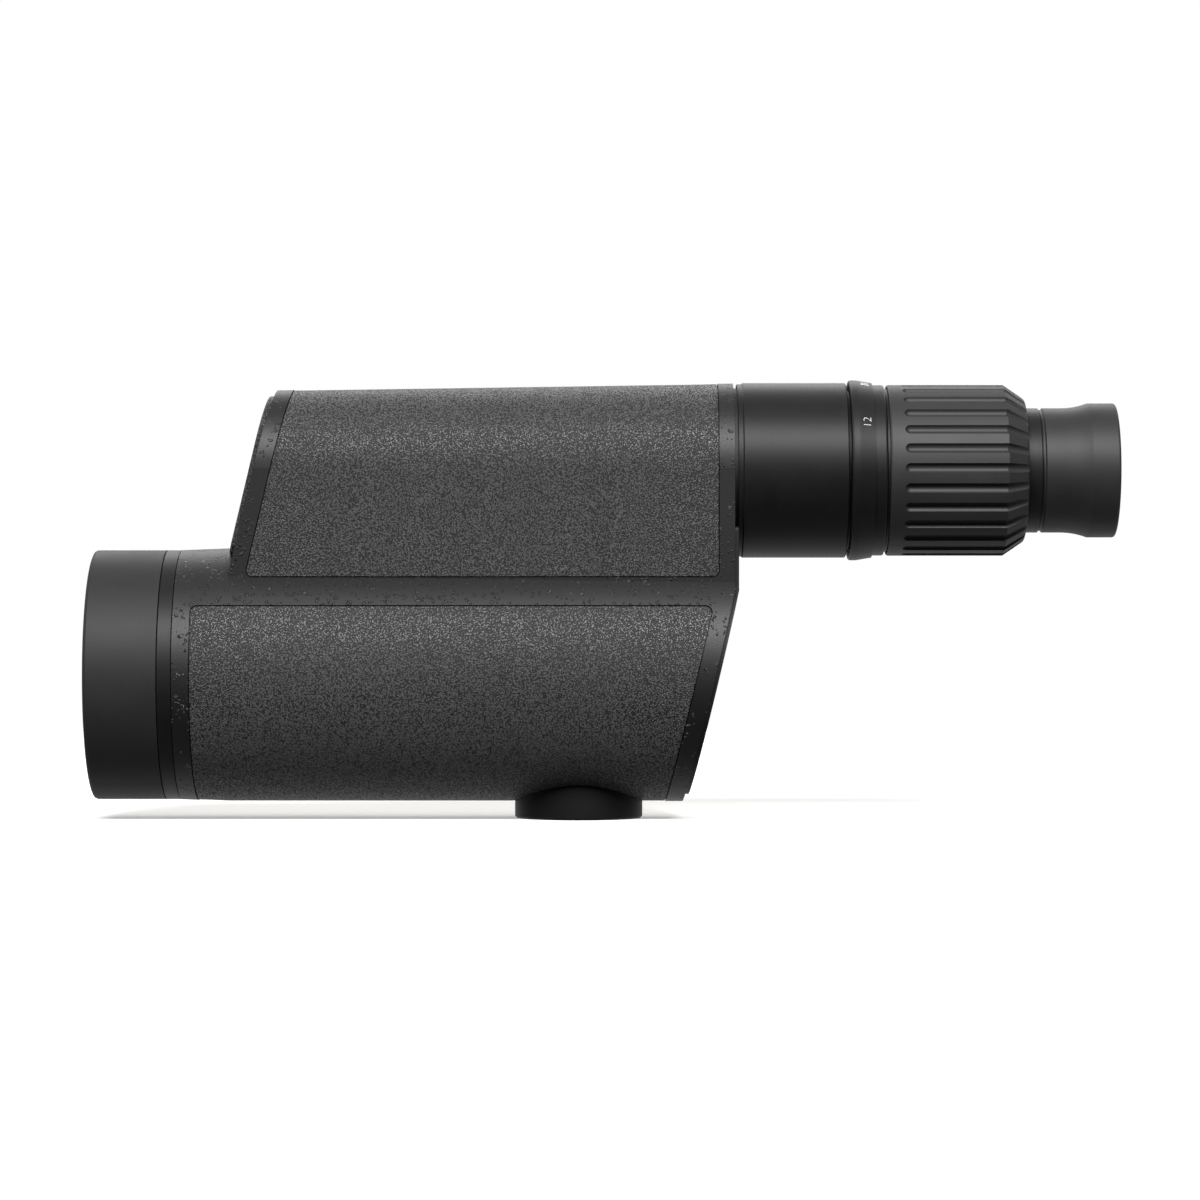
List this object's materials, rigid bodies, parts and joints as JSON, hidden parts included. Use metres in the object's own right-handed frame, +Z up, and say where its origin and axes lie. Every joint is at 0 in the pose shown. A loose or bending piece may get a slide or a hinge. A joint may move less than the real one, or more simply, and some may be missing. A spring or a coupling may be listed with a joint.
{
  "type": "spotting scope",
  "caption": "Compact spotting scope with a folded light path, rubber armour, a round tripod foot, a power ring, a fluted focus ring and an eyecup.",
  "frame": {"origin": "centre of the tripod foot's bottom face, at the mouth of its threaded socket", "axes": "-X towards the target, +X towards the eye, +Z up, Y across"},
  "size_m": [0.3151, 0.0782, 0.1352],
  "materials": {
    "housing_coat": "satin wrinkle coat on cast aluminium",
    "armour_rubber": "matte, fine pebble grain",
    "shade_coat": "soft matte coat",
    "black_anodised": "satin black anodised",
    "foot_coat": "matte black anodised",
    "grip_rubber": "matte moulded rubber",
    "cup_rubber": "matte soft rubber",
    "seal_rubber": "matte",
    "steel": "plain steel",
    "coated_glass": "polished, coated",
    "silvered_mirror": "silvered",
    "white_enamel": "white enamel fill"
  },
  "bodies": {
    "root": {"barrel_baffle": "black_anodised", "eye_lens_front": "coated_glass", "eye_lens_rear": "coated_glass", "eye_lens_retainer": "black_anodised", "eye_lens_spacer": "black_anodised", "eyecup": "cup_rubber", "eyepiece_tube": "black_anodised", "field_lens": "coated_glass", "field_stop": "black_anodised", "focus_stop_ring": "black_anodised", "foot_screws": "steel", "front_cover": "housing_coat", "front_cover_screws": "steel", "front_mirror": "silvered_mirror", "front_mirror_cell": "black_anodised", "front_mirror_screws": "steel", "front_pad": "armour_rubber", "guide_tube": "black_anodised", "index_dot": "white_enamel", "lower_armour": "armour_rubber", "main_housing": "housing_coat", "objective_barrel": "black_anodised", "objective_cell": "black_anodised", "objective_crown": "coated_glass", "objective_flint": "coated_glass", "objective_retainer": "black_anodised", "objective_spacer": "black_anodised", "ocular_housing": "black_anodised", "rear_cover": "housing_coat", "rear_cover_screws": "steel", "rear_gasket": "seal_rubber", "rear_mirror": "silvered_mirror", "rear_mirror_cell": "black_anodised", "rear_mirror_screws": "steel", "rear_plate": "shade_coat", "shade_friction_ring": "seal_rubber", "shade_stop_ring": "black_anodised", "stop_screw": "steel", "thread_insert": "steel", "trim_ring": "black_anodised", "tripod_foot": "foot_coat", "tube_nut": "black_anodised", "tube_seal": "seal_rubber", "upper_armour": "armour_rubber"},
    "shade": {"sunshade": "shade_coat"},
    "power": {"power_ring": "black_anodised", "cam_tube": "black_anodised", "power_seal": "seal_rubber"},
    "erector_front": {"erector_front_cell": "black_anodised", "erector_front_lens": "coated_glass", "erector_front_pin": "steel"},
    "erector_rear": {"erector_rear_cell": "black_anodised", "erector_rear_lens": "coated_glass", "erector_rear_pin": "steel"},
    "focus": {"focus_ring": "grip_rubber", "focus_sleeve": "black_anodised"},
    "focus_group": {"focus_carrier": "black_anodised", "focus_lens": "coated_glass", "focus_pin": "steel"}
  },
  "joints": [
    {"name": "shade_slide", "type": "slide", "parent": "root", "child": "shade", "axis": [-1, 0, 0], "range_m": [0, 0.0135]},
    {"name": "power_turn", "type": "hinge", "parent": "root", "child": "power", "pos_m": [0.0886, 0, 0.1074], "axis": [1, 0, 0], "range_deg": [-58.6, 39.4]},
    {"name": "erector_front_slide", "type": "slide", "parent": "root", "child": "erector_front", "axis": [1, 0, 0], "range_m": [-0.00362, 0.00244]},
    {"name": "erector_rear_slide", "type": "slide", "parent": "root", "child": "erector_rear", "axis": [1, 0, 0], "range_m": [-0.00278, 0.00412]},
    {"name": "focus_turn", "type": "hinge", "parent": "root", "child": "focus", "pos_m": [0.116, 0, 0.1074], "axis": [1, 0, 0], "range_deg": [-150, 150]},
    {"name": "focus_slide", "type": "slide", "parent": "root", "child": "focus_group", "axis": [1, 0, 0], "range_m": [-0.00403, 0.00403]}
  ],
  "couplings": [
    {"joint": "erector_front_slide", "follows": "power_turn", "m_per_rad": 0.0035},
    {"joint": "erector_rear_slide", "follows": "power_turn", "m_per_rad": -0.004},
    {"joint": "focus_slide", "follows": "focus_turn", "m_per_rad": 0.001528}
  ]
}
